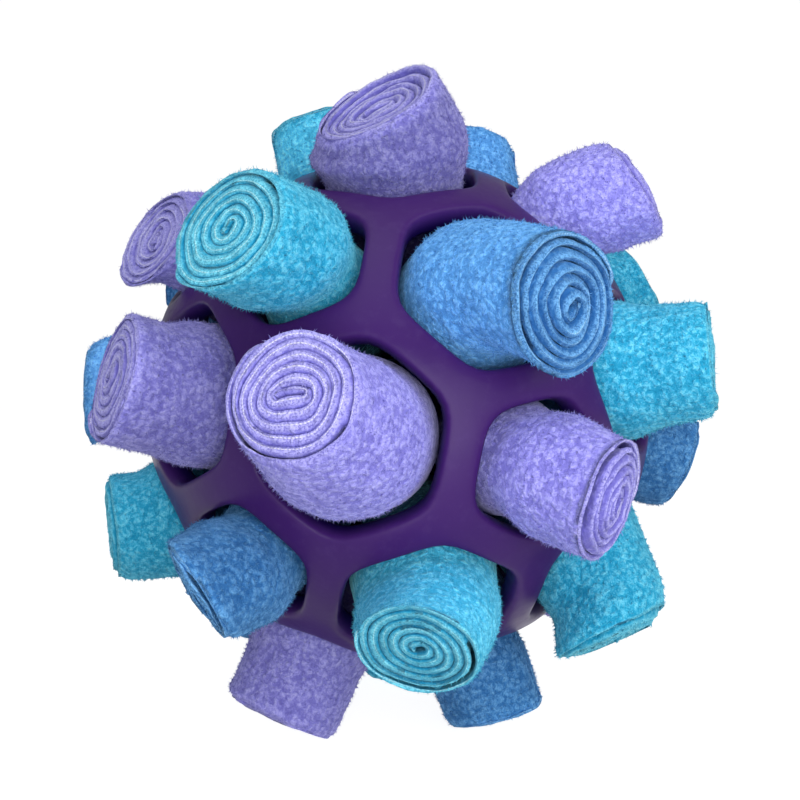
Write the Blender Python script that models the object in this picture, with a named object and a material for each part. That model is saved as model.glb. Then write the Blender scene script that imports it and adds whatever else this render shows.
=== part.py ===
"""Snuffle ball for dogs: a soft rubber lattice ball with a rolled strip of fleece in every opening.

The lattice is a ball with 12 five-sided and 20 six-sided openings.  Each opening holds one strip of
fleece, rolled up and pushed through, so that its outer end stands out of the ball and its inner end
points at the hollow middle.  Three rolls under the ball carry it, pressed flat where they stand.
Units are metres, +Z is up, and the origin lies on the surface below the middle of the ball.
"""

import math
from collections import namedtuple
from itertools import combinations

import bmesh
import bpy
from mathutils import Euler, Vector

# ---- Lattice ball -----------------------------------------------------------------------------
BALL_RADIUS = 0.060          # outside of the rubber
WALL = 0.0060                # thickness of the rubber, in to out
STRUT_HALF = 0.0043          # half the width of a strut at its widest
OPENING_FILLET = 0.0060      # radius of an opening's corners
STRUT_STEPS = 4              # lengths that each strut is divided into
BALL_TURN = (38.97, 58.73, -104.20)   # degrees about X, Y and Z: one lattice corner points straight down

# Section of half a strut, from its outer middle line to its inner one:
# how far in from the middle line, and how far below the outside
StrutPoint = namedtuple("StrutPoint", "inset depth")
STRUT_SECTION = [
    StrutPoint(0.0030, 0.0001),
    StrutPoint(0.0038, 0.0004),
    StrutPoint(STRUT_HALF, 0.0012),
    StrutPoint(STRUT_HALF, 0.0048),
    StrutPoint(0.0034, WALL),
]

# ---- Fleece rolls -----------------------------------------------------------------------------
LAP_SHARE = 0.15             # thickness of one turn of fleece, as a share of a roll's half width
INNER_END = 0.030            # distance of a roll's inner end from the ball's centre
INNER_SWELL = 0.044          # where a roll is widest inside the ball
BEND_START = 0.054           # where a roll starts to lean
BEND_POWER = 1.6             # how softly the lean sets in
BODY = 0.0655                # where a roll is as wide as the table says
RIM_SHARE = 0.3              # middle of the rim's rounding, as a share of it
END_DISH = 0.0008            # how far the middle of the outer end is drawn in
ROLL_POINTS = 16             # corners round a roll
CENTRE_HEIGHT = 0.0738       # height of the ball's centre above the surface

# Half widths of a roll inside the ball and in its opening, by the kind of opening
Neck = namedtuple("Neck", "inner_end inner_swell wall_height wall rim_height rim")
NECKS = {
    "hex": Neck(0.0106, 0.0158, 0.0532, 0.0160, 0.0575, 0.0165),
    "pent": Neck(0.0088, 0.0128, 0.0545, 0.0117, 0.0585, 0.0120),
}

# One row for each roll, in millimetres and degrees.
# out: distance of the outer end from the ball's centre; up, side: how far that end leans up the
# ball and sideways; body, end: diameters outside the ball and at the end; tip_up, tip_side: how far
# the end face is turned up and sideways; lap: direction of the strip's loose end round the roll;
# soft: rounding of the rim of the end.
Roll = namedtuple("Roll", "opening colour out up side body end tip_up tip_side lap soft")
ROLLS = [
    Roll("hex_00", "lilac", 77, 10.0, -5.1, 33.5, 25.6, 20, -8, 120, 1.6),
    Roll("hex_01", "blue", 74, -15.5, 5.0, 29, 27, -30, 18, 160, 1.6),
    Roll("hex_02", "lilac", 73, 2.4, 0.0, 29, 28.4, 10, -8, 200, 1.6),
    Roll("hex_03", "lilac", 69, -11.6, -1.4, 28, 26.5, -16, 24, 210, 1.6),
    Roll("hex_04", "lilac", 72.5, -0.8, -3.6, 38, 31, -16, -26, 100, 1.6),
    Roll("hex_05", "turquoise", 75, 13.6, -5.8, 32, 24.5, 8, -20, 175, 1.6),
    Roll("hex_06", "turquoise", 75.5, -1.0, 0.0, 28.5, 26.2, -5, 12, 20, 3),
    Roll("hex_07", "turquoise", 73, -9.5, -8.5, 29, 28.5, -24, -2, 320, 3.5),
    Roll("hex_08", "turquoise", 73.5, 6.5, -0.5, 28.5, 27, 22, 10, 200, 4),
    Roll("hex_09", "lilac", 76.8, 0.7, -1.0, 29.5, 29, 4, 0, 250, 1.6),
    Roll("hex_10", "turquoise", 70, -0.5, 0.0, 28.5, 27, 2, -10, 20, 1.6),
    Roll("hex_11", "lilac", 73, 3.0, 1.5, 29, 26.5, 8, 4, 140, 1.6),
    Roll("hex_12", "turquoise", 75, -3.5, 3.0, 29, 26.5, -8, 6, 270, 1.6),
    Roll("hex_13", "turquoise", 74, 2.5, -4.0, 28.5, 26, 6, -9, 190, 1.6),
    Roll("hex_14", "turquoise", 77.2, 0.5, 0.5, 28.5, 26.5, 2, 2, 90, 1.6),
    Roll("hex_15", "turquoise", 75, 5.0, 3.5, 29, 25.5, 12, 8, 345, 1.6),
    Roll("hex_16", "blue", 74, -4.0, 2.0, 28.5, 26.5, -9, 5, 40, 1.6),
    Roll("hex_17", "blue", 73, 6.0, 4.0, 27.5, 25, 14, 6, 225, 1.6),
    Roll("hex_18", "turquoise", 76, 3.0, -3.0, 29, 26, 7, -7, 290, 1.6),
    Roll("hex_19", "blue", 76, -5.5, -3.0, 29.5, 25.5, -12, -8, 110, 1.6),
    Roll("pent_00", "turquoise", 77, -6.8, -4.0, 30, 27.2, -8, -8, 205, 1.6),
    Roll("pent_01", "lilac", 76, -2.0, 3.8, 27, 24, -6, 24, 340, 1.6),
    Roll("pent_02", "blue", 75.5, 8.5, 5.5, 27.5, 23.6, -2, -26, 200, 1.6),
    Roll("pent_03", "blue", 73.5, -1.5, 0.0, 26.5, 25, -14, -12, 30, 5),
    Roll("pent_04", "blue", 76.5, 0.0, 0.0, 26.5, 25, -2, 8, 65, 1.6),
    Roll("pent_05", "turquoise", 76, 2.5, 0.5, 27, 26, 5, 6, 310, 1.6),
    Roll("pent_06", "blue", 74, -9.3, 0.5, 27.5, 26.5, -10, 8, 170, 1.6),
    Roll("pent_07", "lilac", 76, -8.5, 3.0, 28, 26.5, -16, 16, 350, 5),
    Roll("pent_08", "blue", 76.4, 0.6, 0.4, 26.5, 25, -2, -2, 80, 1.6),
    Roll("pent_09", "lilac", 74, 2.5, -3.0, 27, 25, 6, -6, 15, 1.6),
    Roll("pent_10", "lilac", 75, 4.0, 2.5, 27, 25.5, 9, 6, 325, 1.6),
    Roll("pent_11", "lilac", 73.5, -3.5, -2.5, 27, 25, -8, -5, 150, 1.6),
]

# ---- Materials: linear colour, roughness ------------------------------------------------------
Finish = namedtuple("Finish", "colour roughness")
FINISHES = {
    "rubber": Finish((0.070, 0.026, 0.127), 0.38),
    "lilac": Finish((0.352, 0.305, 0.680), 0.95),
    "turquoise": Finish((0.061, 0.456, 0.680), 0.95),
    "blue": Finish((0.071, 0.223, 0.515), 0.95),
}

MM = 0.001
WELD = 0.00001               # points closer than this are one point


def clear_scene():
    """Remove every object of the open scene."""
    for thing in list(bpy.data.objects):
        bpy.data.objects.remove(thing, do_unlink=True)


def make_material(name):
    """Material with a named finish."""
    finish = FINISHES[name]
    material = bpy.data.materials.new(name)
    material.use_nodes = True
    shader = material.node_tree.nodes["Principled BSDF"]
    shader.inputs["Base Color"].default_value = (*finish.colour, 1.0)
    shader.inputs["Roughness"].default_value = finish.roughness
    shader.inputs["Metallic"].default_value = 0.0
    material.diffuse_color = (*finish.colour, 1.0)
    return material


def icosahedron_corners():
    """Corners of an icosahedron with edges of length 2, turned as the ball lies."""
    golden = (1 + math.sqrt(5)) / 2
    turn = Euler([math.radians(angle) for angle in BALL_TURN]).to_matrix()
    corners = []
    for first in (1, -1):
        for second in (1, -1):
            corners.append(turn @ Vector((0, first, second * golden)))
            corners.append(turn @ Vector((first, second * golden, 0)))
            corners.append(turn @ Vector((second * golden, 0, first)))
    return corners


def find_openings():
    """Each opening's axis and its lattice corners, in order round it, by name.

    A five-sided opening lies at each corner of the icosahedron and a six-sided one on each face,
    and the lattice has a corner at each third of an icosahedron's edge.
    """
    tips = icosahedron_corners()
    near = {pair for pair in combinations(range(len(tips)), 2)
            if abs((tips[pair[0]] - tips[pair[1]]).length - 2) < 0.1}

    def lattice_corner(start, end):
        return tips[start].lerp(tips[end], 1 / 3).normalized()

    openings = {}
    for index, tip in enumerate(tips):
        others = [sum(pair) - index for pair in near if index in pair]
        corners = [lattice_corner(index, other) for other in others]
        openings[f"pent_{index:02d}"] = (tip.normalized(), corners)
    triangles = [trio for trio in combinations(range(len(tips)), 3)
                 if all(pair in near for pair in combinations(trio, 2))]
    for index, trio in enumerate(triangles):
        axis = sum((tips[corner] for corner in trio), Vector()).normalized()
        corners = [lattice_corner(start, end) for start in trio for end in trio if start != end]
        openings[f"hex_{index:02d}"] = (axis, corners)
    return {name: (axis, in_order(axis, corners)) for name, (axis, corners) in openings.items()}


def in_order(axis, corners):
    """Corners sorted anticlockwise as seen from outside the ball."""
    first = (corners[0] - axis * corners[0].dot(axis)).normalized()
    second = axis.cross(first)
    return sorted(corners, key=lambda corner: math.atan2(corner.dot(second), corner.dot(first)))


def filleted_radius(inradius, sides, fillet, azimuth):
    """Distance from the middle of a regular polygon with rounded corners to its outline.

    A corner lies at azimuth 0.
    """
    sector = 2 * math.pi / sides
    from_corner = abs((azimuth + sector / 2) % sector - sector / 2)
    straight = math.atan2((inradius - fillet) * math.tan(sector / 2), inradius)
    from_side = sector / 2 - from_corner
    if from_side <= straight:
        return inradius / math.cos(from_side)
    centre = (inradius - fillet) / math.cos(sector / 2)
    across = centre * math.sin(from_corner)
    return centre * math.cos(from_corner) + math.sqrt(fillet ** 2 - across ** 2)


def rim_loop(axis, corners, loop, inset, depth):
    """Points round an opening, a distance in from the strut's middle line and below the outside."""
    middle = ((corners[0] + corners[1]) / 2).normalized()
    inradius = BALL_RADIUS * math.tan(middle.angle(axis)) - inset
    first = (corners[0] - axis * corners[0].dot(axis)).normalized()
    second = axis.cross(first)
    points = []
    for direction in loop:
        azimuth = math.atan2(direction.dot(second), direction.dot(first))
        reach = filleted_radius(inradius, len(corners), OPENING_FILLET, azimuth) / BALL_RADIUS
        outward = axis + (first * math.cos(azimuth) + second * math.sin(azimuth)) * reach
        points.append(outward.normalized() * (BALL_RADIUS - depth))
    return points


def lattice_mesh(openings):
    """The rubber ball: half of each strut is built round each opening, and the halves are welded."""
    bm = bmesh.new()
    for axis, corners in openings.values():
        loop = []
        for start, end in zip(corners, corners[1:] + corners[:1]):
            loop += [start.lerp(end, step / STRUT_STEPS).normalized() for step in range(STRUT_STEPS)]
        rings = [[direction * BALL_RADIUS for direction in loop]]
        for point in STRUT_SECTION:
            rings.append(rim_loop(axis, corners, loop, point.inset, point.depth))
        rings.append([direction * (BALL_RADIUS - WALL) for direction in loop])
        join_rings(bm, [[bm.verts.new(point) for point in ring] for ring in rings])
    bmesh.ops.remove_doubles(bm, verts=bm.verts, dist=WELD)
    return finish_mesh(bm, "lattice_ball")


def join_rings(bm, rings):
    """Quads between each ring of points and the next."""
    for outer, inner in zip(rings, rings[1:]):
        for index in range(len(outer)):
            following = (index + 1) % len(outer)
            bm.faces.new((outer[index], outer[following], inner[following], inner[index]))


def finish_mesh(bm, name):
    """Mesh from a finished bmesh, smooth except at its sharp edges."""
    bmesh.ops.recalc_face_normals(bm, faces=bm.faces)
    mesh = bpy.data.meshes.new(name)
    bm.to_mesh(mesh)
    bm.free()
    mesh.shade_smooth()
    mesh.set_sharp_from_angle(angle=math.radians(50))
    return mesh


def roll_sections(row):
    """Distance from the ball's centre and half width of each section of a roll, inside to outside."""
    neck = NECKS[row.opening.split("_")[0]]
    out = row.out * MM
    body = row.body * MM / 2
    end = row.end * MM / 2
    soft = row.soft * MM
    return [
        (INNER_END, neck.inner_end),
        (INNER_SWELL, neck.inner_swell),
        (neck.wall_height, neck.wall),
        (neck.rim_height, neck.rim),
        (BODY, body),
        (out - soft, end),
        (out - soft * RIM_SHARE, end - soft * RIM_SHARE),
        (out, end - soft),
    ]


def roll_ring(row, axis, height, radius):
    """Points round one section of a roll: one turn of the spiral, with the step at its loose end."""
    up = (Vector((0, 0, 1)) - axis * axis.z).normalized()
    side = up.cross(axis)
    reach = max(0.0, (height - BEND_START) / (row.out * MM - BEND_START))
    bend = reach ** BEND_POWER
    centre = axis * height + (up * row.up + side * row.side) * MM * bend
    facing = axis + up * math.tan(math.radians(row.tip_up)) * bend
    facing += side * math.tan(math.radians(row.tip_side)) * bend
    facing.normalize()
    upright = (up - facing * up.dot(facing)).normalized()
    across = upright.cross(facing)
    points = []
    for index in range(ROLL_POINTS + 1):
        share = index / ROLL_POINTS
        angle = math.radians(row.lap) + 2 * math.pi * share
        distance = radius * (1 - LAP_SHARE * share)
        points.append(centre + (across * math.cos(angle) + upright * math.sin(angle)) * distance)
    return points, facing


def roll_mesh(row, axis):
    """One rolled strip, narrowed where it passes its opening and pressed flat where it stands."""
    bm = bmesh.new()
    rings = []
    for height, radius in roll_sections(row):
        points, facing = roll_ring(row, axis, height, radius)
        rings.append([bm.verts.new(point) for point in points])
    join_rings(bm, rings)
    bm.faces.new(rings[0])
    last = rings[-1]
    middle = sum((vert.co for vert in last), Vector()) / len(last) - facing * END_DISH
    hub = bm.verts.new(middle)
    for index in range(len(last)):
        bm.faces.new((last[index], last[(index + 1) % len(last)], hub))
    press_flat(bm)
    return finish_mesh(bm, f"roll_{row.opening}")


def press_flat(bm):
    """Cut off what would reach below the surface that the ball stands on."""
    floor = Vector((0, 0, -CENTRE_HEIGHT))
    if min(vert.co.z for vert in bm.verts) >= floor.z:
        return
    parts = bm.verts[:] + bm.edges[:] + bm.faces[:]
    cut = bmesh.ops.bisect_plane(bm, geom=parts, dist=WELD / 10, plane_co=floor,
                                 plane_no=(0, 0, -1), clear_outer=True)
    edges = [part for part in cut["geom_cut"] if isinstance(part, bmesh.types.BMEdge)]
    bmesh.ops.contextual_create(bm, geom=edges)


def stand_on_origin(objects):
    """Move the model so that the origin lies under the middle of its box, on the surface."""
    points = [vert.co for thing in objects for vert in thing.data.vertices]
    low = Vector([min(point[axis] for point in points) for axis in range(3)])
    high = Vector([max(point[axis] for point in points) for axis in range(3)])
    shift = Vector((-(low.x + high.x) / 2, -(low.y + high.y) / 2, -low.z))
    for thing in objects:
        thing.data.transform(thing.matrix_world.Translation(shift))


def build():
    """Model the lattice and its rolls."""
    clear_scene()
    openings = find_openings()
    materials = {name: make_material(name) for name in FINISHES}
    made = [("lattice_ball", lattice_mesh(openings), "rubber")]
    for row in ROLLS:
        made.append((f"roll_{row.opening}", roll_mesh(row, openings[row.opening][0]), row.colour))
    objects = []
    for name, mesh, finish in made:
        thing = bpy.data.objects.new(name, mesh)
        mesh.materials.append(materials[finish])
        bpy.context.scene.collection.objects.link(thing)
        objects.append(thing)
    stand_on_origin(objects)


build()
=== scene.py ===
"""Looks of the dog snuffle ball: a soft rubber lattice ball with a rolled fleece strip in each opening."""

import math
from collections import namedtuple
from itertools import combinations

import bpy
import numpy as np
from mathutils import Euler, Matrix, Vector, noise


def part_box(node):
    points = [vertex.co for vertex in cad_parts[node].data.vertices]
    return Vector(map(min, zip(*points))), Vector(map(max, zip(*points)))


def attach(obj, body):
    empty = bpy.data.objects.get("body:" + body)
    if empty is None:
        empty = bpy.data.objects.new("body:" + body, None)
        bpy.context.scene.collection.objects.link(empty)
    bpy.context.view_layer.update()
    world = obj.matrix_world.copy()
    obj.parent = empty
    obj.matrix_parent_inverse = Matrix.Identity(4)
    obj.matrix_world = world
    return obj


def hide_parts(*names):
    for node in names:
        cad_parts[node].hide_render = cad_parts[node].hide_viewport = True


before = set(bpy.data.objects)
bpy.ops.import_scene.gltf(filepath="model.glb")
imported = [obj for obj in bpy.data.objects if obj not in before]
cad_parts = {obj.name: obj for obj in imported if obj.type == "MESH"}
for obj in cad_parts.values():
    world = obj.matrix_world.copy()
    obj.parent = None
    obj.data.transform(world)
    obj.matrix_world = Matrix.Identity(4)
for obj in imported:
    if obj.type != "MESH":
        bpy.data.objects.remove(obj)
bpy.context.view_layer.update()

# ---- Rubber ball ------------------------------------------------------------------------------
# A hollow ball moulded in one piece from soft dark purple rubber, all open lattice: 12 five-sided
# and 20 six-sided openings with rounded struts between them.  It holds every roll by squeezing it.

BALL_LOW, BALL_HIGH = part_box("lattice_ball")
BALL_CENTRE = (Vector(BALL_LOW) + Vector(BALL_HIGH)) / 2
BALL_RADIUS = 0.060
RUBBER = (0.047, 0.013, 0.118, 1.0)
# Painted shade: the dark violet given to the walls deep inside the openings and to the cloth inside the
# ball, where shade falls.
PAINTED_SHADE_VIOLET = (0.010, 0.002, 0.062, 1.0)
RUBBER_DUSTY = (0.090, 0.048, 0.180, 1.0)


class Signal:
    """One output socket of a finish; arithmetic on it adds Math nodes."""

    def __init__(self, finish, socket):
        self.finish = finish
        self.socket = socket

    def math(self, operation, *values):
        return self.finish.node("ShaderNodeMath", {"operation": operation}, dict(enumerate(values)))

    def __add__(self, other):
        return self.math("ADD", self, other)

    def __radd__(self, other):
        return self.math("ADD", other, self)

    def __sub__(self, other):
        return self.math("SUBTRACT", self, other)

    def __rsub__(self, other):
        return self.math("SUBTRACT", other, self)

    def __mul__(self, other):
        return self.math("MULTIPLY", self, other)

    def __rmul__(self, other):
        return self.math("MULTIPLY", other, self)

    def wave(self):
        """A sine of it, moved to run from 0 to 1."""
        return self.math("SINE", self) * 0.5 + 0.5

    def size(self):
        return self.math("ABSOLUTE", self)

    def within(self, low, high):
        """0 below low, 1 above high, smooth between; low may be the greater."""
        values = {"Value": self, "From Min": low, "From Max": high}
        return self.finish.node("ShaderNodeMapRange", {"interpolation_type": "SMOOTHSTEP"}, values)


class Finish:
    """A material while its nodes are laid out."""

    def __init__(self, name, roughness):
        self.material = bpy.data.materials.new(name)
        self.material.use_nodes = True
        self.tree = self.material.node_tree
        self.shader = self.tree.nodes["Principled BSDF"]
        self.shader.inputs["Roughness"].default_value = roughness

    def node(self, kind, settings, inputs, output=0):
        """Adds a node with its settings, plugs its sockets, and gives one of its outputs."""
        made = self.tree.nodes.new(kind)
        for setting, value in settings.items():
            setattr(made, setting, value)
        for socket, value in inputs.items():
            self.plug(made.inputs[socket], value)
        return Signal(self, made.outputs[output])

    def plug(self, socket, value):
        if isinstance(value, Signal):
            self.tree.links.new(value.socket, socket)
        else:
            socket.default_value = value

    def set(self, **sockets):
        """Plugs sockets of the shader; Base_Color stands for Base Color."""
        for name, value in sockets.items():
            self.plug(self.shader.inputs[name.replace("_", " ")], value)

    def blend(self, under, over, share):
        """One colour over another, by share."""
        return self.node("ShaderNodeMix", {"data_type": "RGBA"}, {0: share, 6: under, 7: over}, 2)

    def place(self):
        return self.node("ShaderNodeTexCoord", {}, {}, "Object")

    def cloud(self, place, per_metre, detail=2.0, roughness=0.5):
        """Soft noise from 0 to 1 with so many lumps a metre."""
        values = {"Vector": place, "Scale": per_metre, "Detail": detail, "Roughness": roughness}
        return self.node("ShaderNodeTexNoise", {}, values)

    def part(self, vector, axis):
        """One number of a vector: X, Y or Z."""
        return self.node("ShaderNodeSeparateXYZ", {}, {"Vector": vector}, axis)

    def shifted(self, place, other, amount):
        """A place moved by a vector times an amount."""
        values = {0: other, 1: (amount, amount, amount), 2: place}
        return self.node("ShaderNodeVectorMath", {"operation": "MULTIPLY_ADD"}, values, "Vector")

    def relief(self, height, depth, strength=1.0, under=None):
        """Bump of a height from 0 to 1 that is depth metres deep."""
        values = {"Strength": strength, "Distance": depth, "Height": height}
        if under is not None:
            values["Normal"] = under
        return self.node("ShaderNodeBump", {}, values)


def rubber_finish():
    """Satin moulded rubber: soft mottling, a fine matt grain, and painted shade that darkens the walls
    inside the openings.
    """
    finish = Finish("rubber_satin", 0.3)
    place = finish.place()
    mottle = finish.cloud(place, 90.0, 3.0)
    dust = finish.cloud(place, 420.0, 4.0, 0.65).within(0.50, 0.72)
    grain = finish.cloud(place, 5200.0, 2.0)
    swirl = finish.cloud(place, 260.0, 2.0)
    from_centre = {0: place, 1: tuple(BALL_CENTRE)}
    radius = finish.node("ShaderNodeVectorMath", {"operation": "DISTANCE"}, from_centre, "Value")
    # Painted shade: the rubber turns to the dark wall colour the deeper it lies inside the openings.
    outside = (radius + mottle * 0.0006).within(BALL_RADIUS - 0.0038, BALL_RADIUS - 0.0004)
    colour = finish.blend(PAINTED_SHADE_VIOLET, RUBBER, outside * (0.80 + mottle * 0.4))
    colour = finish.blend(colour, RUBBER_DUSTY, dust * outside * 0.15)
    fine = finish.relief(grain, 0.00005, 0.35)
    finish.set(Base_Color=colour, Roughness=0.26 + mottle * 0.12 + dust * 0.10,
               Normal=finish.relief(swirl, 0.0003, 0.3, fine))
    finish.set(Specular_IOR_Level=0.13)
    return finish.material


def mould_ball():
    """The moulded ball: the lattice of the frame, welded and rounded off."""
    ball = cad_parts["lattice_ball"].copy()
    ball.data = ball.data.copy()
    ball.name = "rubber_ball"
    ball.parent = None
    bpy.context.scene.collection.objects.link(ball)
    for key in list(ball.keys()):
        del ball[key]
    bpy.ops.object.select_all(action="DESELECT")
    bpy.context.view_layer.objects.active = ball
    ball.select_set(True)
    bpy.ops.object.mode_set(mode="EDIT")
    bpy.ops.mesh.select_all(action="SELECT")
    bpy.ops.mesh.remove_doubles(threshold=0.00002)
    bpy.ops.mesh.tris_convert_to_quads(face_threshold=math.radians(60), shape_threshold=math.radians(60))
    bpy.ops.mesh.mark_sharp(clear=True)
    bpy.ops.mesh.normals_make_consistent(inside=False)
    bpy.ops.object.mode_set(mode="OBJECT")
    rounding = ball.modifiers.new("rounding", "SUBSURF")
    rounding.levels = 1
    rounding.render_levels = 1
    bpy.ops.object.modifier_apply(modifier="rounding")
    bpy.ops.object.shade_smooth()
    ball.data.materials.clear()
    ball.data.materials.append(rubber_finish())
    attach(ball, "root")
    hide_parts("lattice_ball")


mould_ball()

# ---- Lilac rolls ------------------------------------------------------------------------------
# Strips of brushed fleece about 47 mm wide and 2 mm thick, cut with clean long edges, each rolled
# up tightly and pushed through an opening.  The end shows the turns of the strip edge on.

MM = 0.001
BALL_TURN = (38.97, 58.73, -104.20)
BEND_START = 0.054
TURNS = 6.25
PILE_SUNK = 1.25
LAP_SHARE = 0.15
SLACK = 0.26
NECKS = {
    "hex": ((0.030, 0.0108), (0.044, 0.0160), (0.0495, 0.0170), (0.0535, 0.0160), (0.0575, 0.0165)),
    "pent": ((0.030, 0.0088), (0.044, 0.0128), (0.0490, 0.0134), (0.0545, 0.0117), (0.0585, 0.0120)),
}

# Millimetres and degrees: out, the outer end's distance from the ball's centre; up and side, its
# lean; body and end, widths; tip_up and tip_side, the end's turn; lap, where the strip's loose end
# lies, and step, how thick it is there, as a share of the cloth; soft, the rounding of the end's
# rim; dome and rim, how far the middle of the end and its outermost turn stand out; ridge, the
# depth of the grooves; core, half the length of the first fold, and core_turn, its direction; fine,
# the spacing of points along the strip; and last, painted light and shade on the roll's outside:
# how much lighter (above 1) or darker (below 1) it is made.
Roll = namedtuple("Roll", "opening out up side body end tip_up tip_side lap step soft "
                          "dome rim ridge core core_turn fine tone", defaults=(1,))
LILAC_ROLLS = [
    Roll("hex_00", 77, 10.0, -5.1, 33.5, 25.6, 20, -8, 120, 0.5, 1.2, 0.2, 0.0, 0.16, 2.3, 8, 0.62),
    Roll("hex_02", 73, 2.4, 0.0, 29, 28.4, 10, -8, 200, 0.5, 1.2, 1.0, 0.0, 0.3, 1.6, 40, 0.8, 0.76),
    Roll("hex_03", 69, -11.6, -1.4, 28, 26.5, -16, 24, 210, 0.5, 1.2, 0.0, 0.0, 0.25, 0.8, 100, 0.7),
    Roll("hex_04", 72.5, -0.8, -3.6, 38.5, 31, -16, -26, 100, 0.5, 1.2, -0.8, 0.5, 0.5, 2.5, 10, 0.8, 0.60),
    Roll("hex_09", 76.8, 0.7, -1.0, 29.5, 29, 4, 0, 250, 0.5, 2.0, 0.0, 0.0, 0.3, 1.2, 30, 0.95, 0.84),
    Roll("hex_11", 73, 3.0, 1.5, 29, 26.5, 8, 4, 140, 0.5, 1.2, 1.0, 0.0, 0.3, 1.2, 70, 1.15),
    Roll("pent_01", 76, -2.0, 3.8, 27, 24, -6, 26, 340, 0.5, 1.2, 1.5, -0.5, 0.90, 1.0, 80, 0.7, 1.12),
    Roll("pent_07", 76, -9.8, 3.0, 28, 26.5, -16, 16, 350, 0.5, 5, 0.0, 0.0, 0.3, 1.2, 20, 0.95, 1.25),
    Roll("pent_09", 74, 2.5, -3.0, 27, 25, 6, -6, 15, 0.5, 1.2, 0.6, 0.0, 0.3, 1.2, 50, 1.15),
    Roll("pent_10", 75, 4.0, 2.5, 27, 25.5, 9, 6, 325, 0.5, 1.2, 0.8, -0.5, 0.55, 1.2, 90, 1.15),
    Roll("pent_11", 73.5, -3.5, -2.5, 27, 25, -8, -5, 150, 0.5, 1.2, 0.4, 0.0, 0.3, 1.2, 10, 1.15),
]
# Of each fleece's colours, deep is painted shade for the pits of the pile and the grooves between turns, the
# third is painted highlight for the crests of the pile and the cut ends, and thread is the real thread.
LILAC = {"deep": (0.130, 0.115, 0.470, 1.0), "pile": (0.330, 0.310, 0.830, 1.0),
         "tips": (0.560, 0.540, 0.980, 1.0), "thread": (0.900, 0.880, 1.000, 1.0)}


def opening_axes():
    """Direction of each opening from the ball's centre, by name."""
    golden = (1 + math.sqrt(5)) / 2
    turn = Euler([math.radians(angle) for angle in BALL_TURN]).to_matrix()
    tips = []
    for first in (1, -1):
        for second in (1, -1):
            tips.append(turn @ Vector((0, first, second * golden)))
            tips.append(turn @ Vector((first, second * golden, 0)))
            tips.append(turn @ Vector((second * golden, 0, first)))
    axes = {f"pent_{index:02d}": tip.normalized() for index, tip in enumerate(tips)}
    near = set()
    for first, second in combinations(range(12), 2):
        if abs((tips[first] - tips[second]).length - 2) < 0.1:
            near.add((first, second))
    faces = []
    for trio in combinations(range(12), 3):
        if all(pair in near for pair in combinations(trio, 2)):
            faces.append(trio)
    for index, trio in enumerate(faces):
        axes[f"hex_{index:02d}"] = sum((tips[corner] for corner in trio), Vector()).normalized()
    return axes


AXES = opening_axes()


def half_width(row, height):
    """Half the width of a roll at a distance from the ball's centre, softened along it."""
    knots = list(NECKS[row.opening.split("_")[0]])
    knots += [(0.0625, row.body * MM / 2), (row.out * MM - 0.0016, row.end * MM / 2)]
    at = [knot[0] for knot in knots]
    wide = [knot[1] for knot in knots]
    around = [np.interp(height + shift * MM, at, wide) for shift in (-2.4, -1.2, 0, 1.2, 2.4)]
    return sum(around) / len(around)


def rim_rounding(row, height):
    """Share of its width that the outside of a roll keeps near its rounded end, 1 below it."""
    risen = np.clip((height - (row.out - 0.9 * row.soft) * MM) / (0.9 * row.soft * MM), 0, 1)
    return 1 - 2 * row.soft / row.end * (1 - np.sqrt(1 - risen ** 2))


def in_the_roll(row, height, spread, angle):
    """Points of a roll, by height along it, spread from its middle (0) to its outside (1), and angle."""
    axis = AXES[row.opening]
    up = (Vector((0, 0, 1)) - axis * axis.z).normalized()
    side = up.cross(axis)
    axis, up, side = (np.array(direction) for direction in (axis, up, side))
    bend = np.maximum(0, (height - BEND_START) / (row.out * MM - BEND_START)) ** 1.6
    bend = bend[:, None]
    middle = axis * height[:, None] + (up * row.up + side * row.side) * MM * bend
    tip = up * math.tan(math.radians(row.tip_up)) + side * math.tan(math.radians(row.tip_side))
    facing = axis + tip * bend
    facing /= np.linalg.norm(facing, axis=1)[:, None]
    upright = up - facing * (facing @ up)[:, None]
    upright /= np.linalg.norm(upright, axis=1)[:, None]
    across = np.cross(upright, facing)
    reach = half_width(row, height) * spread * (1 - (1 - rim_rounding(row, height)) * spread ** 4)
    fold = math.radians(row.core_turn)
    stretch = row.core * MM * (1 - spread) ** 1.5 * np.tanh(2.6 * np.cos(angle - fold))
    east = reach * np.cos(angle) + stretch * math.cos(fold)
    north = reach * np.sin(angle) + stretch * math.sin(fold)
    wobble = 0.38 * MM
    shift = row.out * 7.0 + row.lap
    east = east + wobble * np.sin(north * 380 + shift) * (1 - spread ** 4)
    north = north + wobble * np.sin(east * 430 + shift * 1.7) * (1 - spread ** 4)
    return np.array(BALL_CENTRE) + middle + across * east[:, None] + upright * north[:, None]


def wound_in(row, turn):
    """Share of a roll's width at which the strip's outer face lies after so many turns."""
    first_step = LAP_SHARE * row.step
    if turn <= 1:
        return 1 - first_step * turn
    slack = SLACK * noise.noise(Vector((turn * 0.55, row.out, row.lap))) * min(turn - 1, 1)
    each = (1 - first_step - 0.06) / (TURNS - 1)
    return max(1 - first_step - each * (turn - 1) - LAP_SHARE * slack, 0.015)


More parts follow.
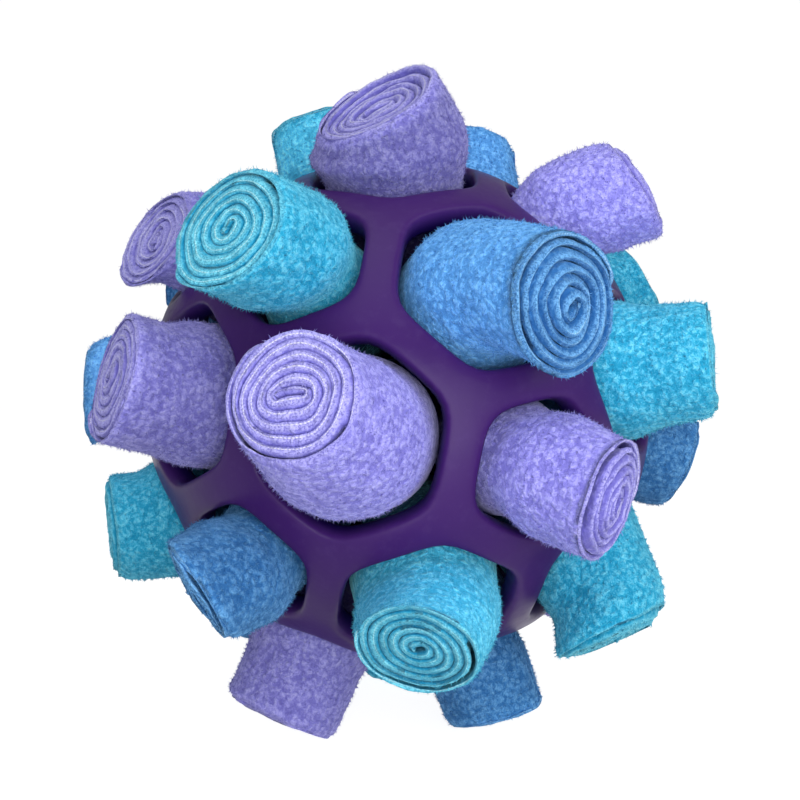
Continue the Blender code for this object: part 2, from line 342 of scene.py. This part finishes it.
def end_height(row, turn, spread):
    """Height of the strip's cut edge after so many turns."""
    seed = row.out + row.lap
    slips = []
    for at in (turn, turn + 1):
        slip = 0.45 * noise.noise(Vector((at * 1.7, seed, 0.3)))
        slip += 0.30 * noise.noise(Vector((at * 9.0, seed, 5.3)))
        slips.append(slip + 0.6 * row.ridge * noise.noise(Vector((at * 0.9, seed, 9.1))))
    share = min(turn / 0.4, 1)
    slip = slips[0] * share + (slips[1] - 0.3) * (1 - share)
    slip -= 1.5 * max(0, 1 - turn / 0.06) ** 2
    telescoped = row.rim * min(max(1.5 - turn, 0), 1)
    middle = max(spread - LAP_SHARE / 2, 0) * row.end / 2
    beyond = min(max((middle - row.end / 2 + row.soft) / row.soft, 0), 1)
    rounded = 0.9 * row.soft * (1 - math.sqrt(1 - beyond ** 2))
    return (row.out + row.dome * (1 - spread ** 2) + slip + telescoped - rounded) * MM


def strip_rings(row):
    """Rings of points round the strip's cross-section, from its loose end to the first fold.

    Each ring is a list of (place on the ring, height, share of the cloth's thickness, millimetres
    from the outer long edge), with the turns wound so far and the shares of both faces.
    """
    width = row.end * MM / 2
    turns = list(np.linspace(0, 1, int(2 * math.pi * width / (1.02 * MM))))
    while turns[-1] < TURNS:
        spread = max(1 - LAP_SHARE * turns[-1], 0.05)
        turns.append(turns[-1] + min(row.fine * MM / (2 * math.pi * width * spread), 1 / 15))
    rows = int((row.out * MM - 0.0535) / (1.05 * MM))
    rings = []
    for turn in turns:
        outer_face, inner_face = wound_in(row, turn), wound_in(row, turn + 1)
        gap = 0.020 * row.ridge * min(outer_face * 3, 1)
        taper = min(turn / (0.72 - 0.68 * row.step), (turns[-1] - turn) / 0.02)
        taper = min(max(taper, 0.12), 1) ** 0.7
        inner_face = min(inner_face + gap, outer_face - 0.005)
        outer_face = inner_face + (outer_face - inner_face) * taper
        tucked = 0.032 * max(0, 1 - turn / 0.05)
        outer_face -= tucked
        inner_face -= tucked
        top = end_height(row, turn, outer_face)
        low = [0.048] if turn > 2.3 else [0.048, 0.053, 0.0565, 0.060, 0.0635]
        if turn <= 1.16:
            outer = [0.030, 0.040, 0.048] + list(np.linspace(0.0535, top - 0.0005, rows))
        else:
            outer = [0.030] + low + [top - depth * MM for depth in (5, 3.2, 1.8, 0.9)]
            outer = [rise for rise in outer if not 0.062 <= rise <= 0.065 or top - rise > 0.0055]
        inner = [top - depth * MM for depth in (0.8, 2.0, 5)]
        inner += [rise for rise in reversed(low) if turn < 1.3 and top - rise > 0.0055 or rise < 0.05]
        inner.append(0.030)
        ring = []
        for height in outer:
            ring.append(((height - 0.030) / (top - 0.030), height, 0.0, -(top - height) / MM))
        for share in (0.06, 0.22, 0.40, 0.60, 0.78, 0.94):
            depth = row.ridge * (1 - math.sqrt(1 - (2 * share - 1) ** 2))
            ring.append((1 + share, top - depth * MM, share, 2 * share))
        for height in inner:
            ring.append((3 - (height - 0.030) / (top - 0.030), height, 1.0, 2 + (top - height) / MM))
        rings.append((turn, outer_face, inner_face, ring))
    return rings


def bridge(first, second, faces):
    """Faces between two rings of (vertex, place on the ring); the rings may differ in number."""
    if len(first) == len(second):
        for index in range(len(first)):
            after = (index + 1) % len(first)
            faces.append((second[index][0], second[after][0], first[after][0], first[index][0]))
        return
    near = far = 0
    while near < len(first) or far < len(second):
        next_near = first[near + 1][1] if near + 1 < len(first) else 4.0
        next_far = second[far + 1][1] if far + 1 < len(second) else 4.0
        here, there = first[near % len(first)][0], second[far % len(second)][0]
        if near < len(first) and (next_near <= next_far or far >= len(second)):
            near += 1
            faces.append((there, first[near % len(first)][0], here))
        else:
            far += 1
            faces.append((there, second[far % len(second)][0], here))


def pile_height(point, seed):
    """Height of the brushed pile at a point, from 0 in its pits to about 1 on its curls."""
    shifted = point + Vector((seed * 0.11, seed * 0.07, 0))
    lumps = noise.noise(shifted / 0.0034)
    curls = noise.noise(shifted / 0.0016 + Vector((0, 0, lumps * 1.5)))
    return 0.5 + 0.46 * lumps + 0.22 * curls


def brush_up(points, normals, edge, faces, hairs, seed):
    """Loose fibres of the pile, each a spike of four faces: their points, faces and heights."""
    chance = np.random.default_rng(seed)
    quads = np.array([face if len(face) == 4 else (*face, face[-1]) for face in faces])
    corners = points[quads]
    area = np.linalg.norm(np.cross(corners[:, 2] - corners[:, 0], corners[:, 3] - corners[:, 1]), axis=1)
    area = np.where((edge[quads[:, 0]] > 0.2) & (edge[quads[:, 0]] < 3), area * 0.45, area)
    picked = quads[chance.choice(len(quads), hairs, p=area / area.sum())]
    mix = chance.random((hairs, 4)) + 0.05
    mix = (mix / mix.sum(1)[:, None])[:, :, None]
    base = (points[picked] * mix).sum(1)
    lean = (normals[picked] * mix).sum(1)
    lean /= np.linalg.norm(lean, axis=1)[:, None] + 1e-9
    lean = lean + chance.normal(0, 0.85, (hairs, 3)) + np.array([0, 0, -0.12])
    lean /= np.linalg.norm(lean, axis=1)[:, None]
    on_edge = (edge[picked[:, 0]] > 0.3) & (edge[picked[:, 0]] < 2.4)
    length = (0.40 + 0.70 * chance.random(hairs) ** 1.5) * np.where(on_edge, 0.6, 1.0) * MM
    thick = (0.065 + 0.065 * chance.random(hairs) ** 2) * np.where(on_edge, 0.75, 1.0) * MM
    flat = np.cross(lean, chance.normal(0, 1, (hairs, 3)))
    flat /= np.linalg.norm(flat, axis=1)[:, None]
    other = np.cross(lean, flat)
    spikes = np.empty((hairs, 4, 3))
    for step in range(3):
        swing = step * 2 * math.pi / 3
        out = flat * math.cos(swing) + other * math.sin(swing)
        spikes[:, step] = base + out * thick[:, None] - lean * 0.12 * MM
    spikes[:, 3] = base + lean * length[:, None]
    first = len(points) + np.arange(hairs)[:, None, None] * 4
    sides = first + np.array([[0, 1, 3], [1, 2, 3], [2, 0, 3], [2, 1, 0]])
    # Heights along each fibre; the tip, at 1, gets the painted highlight of the pile's crests.
    tones = np.tile([0.55, 0.55, 0.55, 1.0], hairs)
    return spikes.reshape(-1, 3), sides.reshape(-1, 3).tolist(), tones, (picked, mix)


def on_the_map(turn, edge, lap):
    """Place on the strip's flat map: a wide band for the outer turn, narrow ones for the others."""
    outer = np.interp(edge, (-47, 0, 2, 6, 50), (0.004, 0.40, 0.43, 0.45, 0.462))
    inner = np.interp(edge, (-50, -4, 0, 2, 5, 50), (0, 0.008, 0.034, 0.058, 0.078, 0.084))
    band = np.where(lap < 1, outer, 0.466 + (lap - 1) * 0.0865 + inner)
    return np.stack([0.004 + (turn - lap) * 0.86, band], -1)


def lay_flat(turn, edge, faces, roots):
    """The strip's flat map, corner by corner; each loose fibre lies at its root."""
    places = []
    for face in faces[:-2]:
        face = np.array(face)
        lap = int(turn[face].min() + 1e-6)
        spot = on_the_map(turn[face], edge[face], lap)
        if edge[face].max() - edge[face].min() > 30:
            spot[:, 1] = 0.990 + 0.006 * (edge[face] > 0)
        places.append(spot)
    for side, face in enumerate(faces[-2:]):
        face = np.array(face)
        share = np.clip(edge[face] / 2, 0, 1)
        rise = 0.55 + 0.2 * side - abs(edge[face] - 1) * 0.003
        places.append(np.stack([0.955 + 0.035 * share, rise], -1))
    picked, mix = roots
    lap = np.floor(turn[picked].min(1) + 1e-6)
    spot = on_the_map((turn[picked] * mix[:, :, 0]).sum(1), (edge[picked] * mix[:, :, 0]).sum(1), lap)
    fibre = spot[:, None] + np.array([(-0.0025, -0.002), (0.0025, -0.002), (0, 0.001), (0, 0.004)])
    corners = fibre[:, [0, 1, 3, 1, 2, 3, 2, 0, 3, 2, 1, 0]]
    return np.concatenate(places + [corners.reshape(-1, 2)])


def roll_up(row, finish):
    """One strip of fleece, rolled up, brushed and fixed in its opening."""
    hairs = 4500 if row.fine < 1 else 2300
    seed = row.out * 3 + row.lap
    turn, spread, height, edge, loops = [], [], [], [], []
    for wound, outer_face, inner_face, ring in strip_rings(row):
        loops.append([(len(turn) + step, entry[0]) for step, entry in enumerate(ring)])
        for at, rise, share, depth in ring:
            turn.append(wound)
            spread.append(outer_face + (inner_face - outer_face) * share)
            height.append(rise)
            edge.append(depth)
    turn, spread, height, edge = (np.array(values) for values in (turn, spread, height, edge))
    points = in_the_roll(row, height, spread, math.radians(row.lap) + 2 * math.pi * turn)
    faces = []
    for first, second in zip(loops, loops[1:]):
        bridge(first, second, faces)
    faces.append(tuple(vertex for vertex, at in loops[0]))
    faces.append(tuple(vertex for vertex, at in reversed(loops[-1])))
    mesh = bpy.data.meshes.new(f"fleece_{row.opening}")
    mesh.from_pydata(points.tolist(), [], faces)
    mesh.update()
    along = turn * math.pi * row.end * (1 - LAP_SHARE * turn / 2)
    shown = (edge > -2.5) & (edge < 3.5) | (turn <= 1.16) & (edge < 0) & (height > 0.052)
    across = np.clip(edge, 0, 2) - 1
    sunken = row.ridge * (1 - np.sqrt(1 - across ** 2)) + np.where(edge > 2, edge - 2, 0)
    # How much painted shade each point gets: more the deeper it lies in the grooves between turns.
    groove_shade = np.where((turn > 1) & (edge < 0), row.ridge - edge, np.where(edge < 0, 0, sunken))
    normals = np.array([tuple(normal.vector) for normal in mesh.vertex_normals])
    first_ring = len(loops[0])
    normals[:first_ring] = normals[first_ring:2 * first_ring]
    pile = np.full(len(points), 0.45)
    for index in np.flatnonzero(shown & (turn > 0.01)):
        pile[index] = pile_height(Vector(points[index]), seed)
    under = np.where(turn < 0.4, 0.5 * (1 - turn / 0.4), 0.0) * MM
    sunk = np.where(edge > 2.1, under, (pile - PILE_SUNK) * 0.60 * MM * shown)
    deep = np.where(turn < 1.6, 2.0 * np.clip(-edge / 3, 0, 1), 0.6 * np.clip(-edge / 3 - 0.5, 0, 1))
    sunk = np.where((edge < -0.1) & (turn > 1.16), -deep * MM, sunk)
    points = points + normals * sunk[:, None]
    bare = (turn > 1.02) & (edge < -0.5)
    grown = [face for face in faces[:-2] if all(shown[vertex] and not bare[vertex] for vertex in face)]
    spikes, sides, tones, roots = brush_up(points, normals, edge, grown, hairs, int(seed * 10))
    layout = lay_flat(turn, edge, faces, roots)
    marks = np.stack([along, edge, np.clip(pile, 0, 1)], 1)
    marks = np.concatenate([marks, np.stack([tones * 0, tones * 0 - 9, tones], 1)])
    points = np.concatenate([points, spikes])
    points[:, 2] = np.maximum(points[:, 2], 0)
    mesh.clear_geometry()
    mesh.from_pydata(points.tolist(), [], faces + sides)
    mesh.update()
    mesh.attributes.new("strip", "FLOAT_VECTOR", "POINT").data.foreach_set("vector", marks.ravel())
    groove_shade = np.concatenate([groove_shade, tones * 0])
    mesh.attributes.new("groove_shade", "FLOAT", "POINT").data.foreach_set("value", groove_shade)
    # Painted light and shade: the outside of the roll is made lighter or darker by its row's last value; its
    # loose fibres follow.
    tone = 1 + (row.tone - 1) * np.clip(-edge / 3, 0, 1)
    tone = np.concatenate([tone, tones * 0 + 0.3 + row.tone * 0.7])
    mesh.attributes.new("tone", "FLOAT", "POINT").data.foreach_set("value", tone)
    mesh.uv_layers.new(name="OFBake").uv.foreach_set("vector", layout.ravel())
    mesh.shade_smooth()
    for cap in (len(faces) - 2, len(faces) - 1):
        mesh.polygons[cap].use_smooth = False
    mesh.materials.append(finish)
    roll = bpy.data.objects.new(mesh.name, mesh)
    bpy.context.scene.collection.objects.link(roll)
    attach(roll, "root")
    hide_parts(f"roll_{row.opening}")
    return roll


def fleece_finish(name, shades):
    """Brushed curly fleece: painted shade in its pits, painted highlight on its crests, the knitted ground's
    thread along cut edges.
    """
    finish = Finish(name, 0.95)
    place = finish.place()
    strip = finish.node("ShaderNodeAttribute", {"attribute_name": "strip"}, {}, "Vector")
    along, across, pile = (finish.part(strip, axis) for axis in "XYZ")
    groove_shade = finish.node("ShaderNodeAttribute", {"attribute_name": "groove_shade"}, {}, "Fac")
    tone = finish.node("ShaderNodeAttribute", {"attribute_name": "tone"}, {}, "Fac")
    bent = finish.node("ShaderNodeTexNoise", {}, {"Vector": place, "Scale": 700.0, "Detail": 2.0}, "Color")
    curled = finish.shifted(place, bent, 0.0018)
    cells = {"Vector": curled, "Scale": 820.0, "Smoothness": 0.7}
    clumps = finish.node("ShaderNodeTexVoronoi", {"feature": "SMOOTH_F1"}, cells)
    clumps = 1 - clumps.within(0.05, 0.75)
    curls = finish.cloud(curled, 900.0, 2.0, 0.55)
    fibres = finish.cloud(curled, 3000.0, 2.0, 0.6)
    shade = finish.cloud(place, 140.0, 2.0)
    nap = clumps * 0.45 + curls * 0.35 + pile * 0.20
    # Painted shade: the colour goes from the pile's own towards the painted shade colour deep in its pits.
    out_of_pit_shade = nap.within(0.10, 0.62) * 0.60 + fibres.within(0.35, 0.65) * 0.24 + shade * 0.24
    colour = finish.blend(shades["deep"], shades["pile"], out_of_pit_shade)
    # Painted highlight on the crests of the pile and on the tips of the loose fibres.
    tips = (nap * 0.5 + fibres * 0.7).within(0.48, 0.86)
    colour = finish.blend(colour, shades["tips"], tips * (0.50 + shade * 0.4))
    specks = finish.cloud(place, 2700.0, 2.0, 0.6).within(0.55, 0.40)
    off_middle = (across - 1.0).size()
    cut = off_middle.within(1.5, 0.9)
    # Painted light: the cut ends are made lighter.
    colour = finish.blend(colour, shades["tips"], cut * 0.55)
    # Painted shade towards the grooves between turns on the cut ends, together with real darker specks.
    groove_shade_and_specks = off_middle.within(0.45, 1.05) * 0.25 + specks * 0.60
    colour = finish.blend(colour, shades["deep"], groove_shade_and_specks * cut)
    # Painted shade, darker the deeper in the grooves between turns.
    colour = finish.blend(colour, shades["deep"], groove_shade.within(0.35, 1.3) * 0.65)
    bead = (along * 9.6 + across * 2.4).wave()
    patchy = finish.cloud(place, 300.0, 2.0).within(0.34, 0.58)
    thread = (across - 1.15).size().within(0.22, 0.05) * (0.30 + bead * 0.65) * (0.35 + patchy * 0.6)
    colour = finish.blend(colour, shades["thread"], thread)
    from_centre = {0: place, 1: tuple(BALL_CENTRE)}
    radius = finish.node("ShaderNodeVectorMath", {"operation": "DISTANCE"}, from_centre, "Value")
    # Painted shade on the cloth inside the ball.
    colour = finish.blend(colour, PAINTED_SHADE_VIOLET, radius.within(0.056, 0.049) * 0.85)
    # Painted light and shade per roll: the outside is lighter or darker by the value its row gives, and
    # lighter ones also get some painted highlight.
    colour = finish.blend(colour, shades["tips"], tone.within(1.0, 2.0) * 0.30)
    relit = {0: colour, "Scale": tone}
    colour = finish.node("ShaderNodeVectorMath", {"operation": "SCALE"}, relit, "Vector")
    soft = finish.relief(fibres, 0.00018, 0.6)
    soft = finish.relief(nap, 0.0008, 0.6, soft)
    finish.set(Base_Color=colour, Normal=finish.relief(thread, 0.00035, 0.6, soft))
    finish.set(Specular_IOR_Level=0.08, Sheen_Weight=0.75, Sheen_Roughness=0.40)
    finish.shader.inputs["Sheen Tint"].default_value = shades["tips"]
    return finish.material


lilac_fleece = fleece_finish("fleece_lilac", LILAC)
for row in LILAC_ROLLS:
    roll_up(row, lilac_fleece)

# ---- Turquoise rolls --------------------------------------------------------------------------
# The same strips in turquoise fleece: seen from above their ends show fine, even turns.

TURQUOISE_ROLLS = [
    Roll("hex_05", 75, 13.6, -5.8, 32, 25, 8, -20, 175, 0.7, 1.2, -0.4, 0.1, 0.60, 0.8, 30, 0.65, 1.25),
    Roll("hex_06", 75.5, -1.0, 0.0, 28.5, 26.2, -5, 12, 20, 0.5, 3, 0.6, 0.0, 0.3, 1.2, 60, 0.95, 1.1),
    Roll("hex_07", 73, -9.5, -8.9, 29, 28.5, -26, -10, 320, 0.5, 4.5, 0.5, 0.0, 0.3, 1.2, 10, 0.95, 0.93),
    Roll("hex_08", 73.5, 6.5, -0.5, 28.5, 27, 22, 10, 200, 0.5, 4, 0.6, 0.0, 0.3, 1.2, 80, 0.95),
    Roll("hex_10", 70, -0.5, 0.0, 28.5, 27, 2, -10, 20, 0.5, 1.2, 0.6, 0.0, 0.3, 1.2, 45, 0.9),
    Roll("hex_12", 75, -3.5, 3.0, 29, 26.5, -8, 6, 270, 0.5, 1.2, 0.8, -0.6, 0.60, 1.2, 20, 1.15),
    Roll("hex_13", 74, 2.5, -4.0, 28.5, 26, 6, -9, 190, 0.5, 1.2, 1.0, 0.0, 0.3, 1.2, 70, 1.15),
    Roll("hex_14", 77.2, 0.5, 0.5, 28.5, 26.5, 2, 2, 90, 0.5, 1.2, 0.0, 0.0, 0.3, 1.2, 60, 1.15),
    Roll("hex_15", 75, 5.0, 3.5, 29, 25.5, 12, 8, 345, 0.5, 1.2, 1.2, -0.6, 0.60, 1.2, 15, 1.15),
    Roll("hex_18", 76, 3.0, -3.0, 29, 26, 7, -7, 290, 0.5, 1.2, 0.6, 0.0, 0.3, 1.2, 95, 1.15),
    Roll("pent_00", 77, -6.8, -4.0, 30, 27.2, -8, -8, 205, 0.5, 1.2, 0.3, 0.0, 0.3, 1.0, 50, 0.65, 0.95),
    Roll("pent_05", 76, 2.5, 0.5, 27, 26, 5, 6, 310, 0.5, 1.2, 0.8, 0.0, 0.3, 1.2, 35, 0.9, 1.5),
]
# deep is painted shade and the third colour a painted highlight, as for the lilac fleece.
TURQUOISE = {"deep": (0.006, 0.220, 0.395, 1.0), "pile": (0.034, 0.475, 0.760, 1.0),
             "tips": (0.270, 0.820, 0.960, 1.0), "thread": (0.600, 0.960, 1.000, 1.0)}

turquoise_fleece = fleece_finish("fleece_turquoise", TURQUOISE)
for row in TURQUOISE_ROLLS:
    roll_up(row, turquoise_fleece)

# ---- Blue rolls -------------------------------------------------------------------------------
# The same strips in mid blue fleece: the one by the top opening is pulled out, so that its turns
# stand up in ridges.

BLUE_ROLLS = [
    Roll("hex_01", 74, -15.5, 5.0, 29, 27, -30, 18, 20, 0.5, 1.2, 1.3, 0.0, 1.00, 0.8, 60, 0.65, 1.45),
    Roll("hex_16", 74, -4.0, 2.0, 28.5, 26.5, -9, 5, 40, 0.5, 1.2, 0.8, -0.6, 0.60, 1.2, 60, 1.15),
    Roll("hex_17", 73, 6.0, 4.0, 27.5, 25, 14, 6, 225, 0.5, 1.2, 0.8, 0.0, 0.3, 1.2, 10, 0.95, 1.4),
    Roll("hex_19", 76, -5.5, -3.0, 29.5, 25.5, -12, -8, 110, 0.5, 1.2, 0.8, 0.0, 0.3, 1.2, 70, 1.15),
    Roll("pent_02", 75.5, 8.5, 5.5, 27.5, 23.6, -2, -24, 200, 0.5, 2.0, 2.6, 0.0, 0.55, 1.0, 40, 0.75, 0.76),
    Roll("pent_03", 73.5, -1.5, 0.0, 26.5, 25, -14, -12, 30, 0.5, 5, 0.5, 0.0, 0.3, 1.2, 30, 0.95, 0.78),
    Roll("pent_04", 76.5, 0.0, 0.0, 26.5, 25, -2, 8, 65, 0.5, 1.2, 0.8, 0.0, 0.3, 1.2, 80, 0.9),
    Roll("pent_06", 74, -9.3, 0.5, 27.5, 26.5, -10, 8, 170, 0.5, 1.2, 0.5, 0.0, 0.3, 1.2, 50, 0.95, 1.7),
    Roll("pent_08", 76.4, 0.6, 0.4, 26.5, 25, -2, -2, 80, 0.5, 3.5, 0.0, 0.0, 0.3, 1.2, 20, 0.95, 0.8),
]
# deep is painted shade and the third colour a painted highlight, as for the lilac fleece.
BLUE = {"deep": (0.014, 0.100, 0.320, 1.0), "pile": (0.072, 0.285, 0.650, 1.0),
        "tips": (0.240, 0.550, 0.920, 1.0), "thread": (0.420, 0.720, 0.980, 1.0)}

blue_fleece = fleece_finish("fleece_blue", BLUE)
for row in BLUE_ROLLS:
    roll_up(row, blue_fleece)

# ---- Studio -----------------------------------------------------------------------------------
# A plain white floor and surround, a large soft light above and a weak one in front, and the
# camera close to the ball and almost level with its middle.


def stage_finish(name, glow, grey):
    """Matt white that gives some light of its own."""
    finish = Finish(name, 0.9)
    finish.set(Base_Color=(grey, grey, grey, 1.0), Emission_Color=(1, 1, 1, 1), Emission_Strength=glow)
    return finish.material


bpy.ops.object.select_all(action="DESELECT")
bpy.ops.mesh.primitive_circle_add(vertices=96, radius=2.9, fill_type="NGON", location=(0, 0, -0.0001))
floor = bpy.context.object
floor.name = "floor"
floor.data.materials.append(stage_finish("floor_white", 0.93, 0.30))
bpy.ops.mesh.primitive_ico_sphere_add(subdivisions=5, radius=3.0, location=(0, 0, 0))
surround = bpy.context.object
surround.name = "surround"
surround.data.materials.append(stage_finish("surround_white", 1.0, 0.0))
surround.visible_diffuse = False
surround.visible_glossy = False
surround.visible_shadow = False
floor.visible_diffuse = False


def soft_light(name, place, size, power):
    """A square soft light that faces the ball."""
    lamp = bpy.data.lights.new(name, "AREA")
    lamp.size = size
    lamp.energy = power
    light = bpy.data.objects.new(name, lamp)
    light.location = place
    light.rotation_euler = (BALL_CENTRE - Vector(place)).to_track_quat("-Z", "Y").to_euler()
    bpy.context.scene.collection.objects.link(light)


soft_light("softbox_above", (-0.20, -0.50, 1.05), 0.9, 4.6)
soft_light("softbox_right", (0.62, -0.42, 0.42), 0.5, 1.5)
soft_light("softbox_front", (0.05, -0.29, 0.03), 0.24, 0.85)

world = bpy.data.worlds.new("studio")
world.use_nodes = True
world.node_tree.nodes["Background"].inputs["Color"].default_value = (0.93, 0.96, 1.0, 1.0)
world.node_tree.nodes["Background"].inputs["Strength"].default_value = 0.37
bpy.context.scene.world = world
bpy.context.scene.view_settings.view_transform = "Standard"

CAMERA_OFFSET = Vector((0.0, -0.22588, 0.00592))
lens = bpy.data.cameras.new("camera")
lens.lens = 41.32
lens.sensor_width = 36.0
lens.shift_x = 0.0025
lens.shift_y = 0.01175
lens.clip_start = 0.005
camera = bpy.data.objects.new("camera", lens)
camera.location = BALL_CENTRE + CAMERA_OFFSET
camera.rotation_euler = (-CAMERA_OFFSET).to_track_quat("-Z", "Y").to_euler()
bpy.context.scene.collection.objects.link(camera)
bpy.context.scene.camera = camera
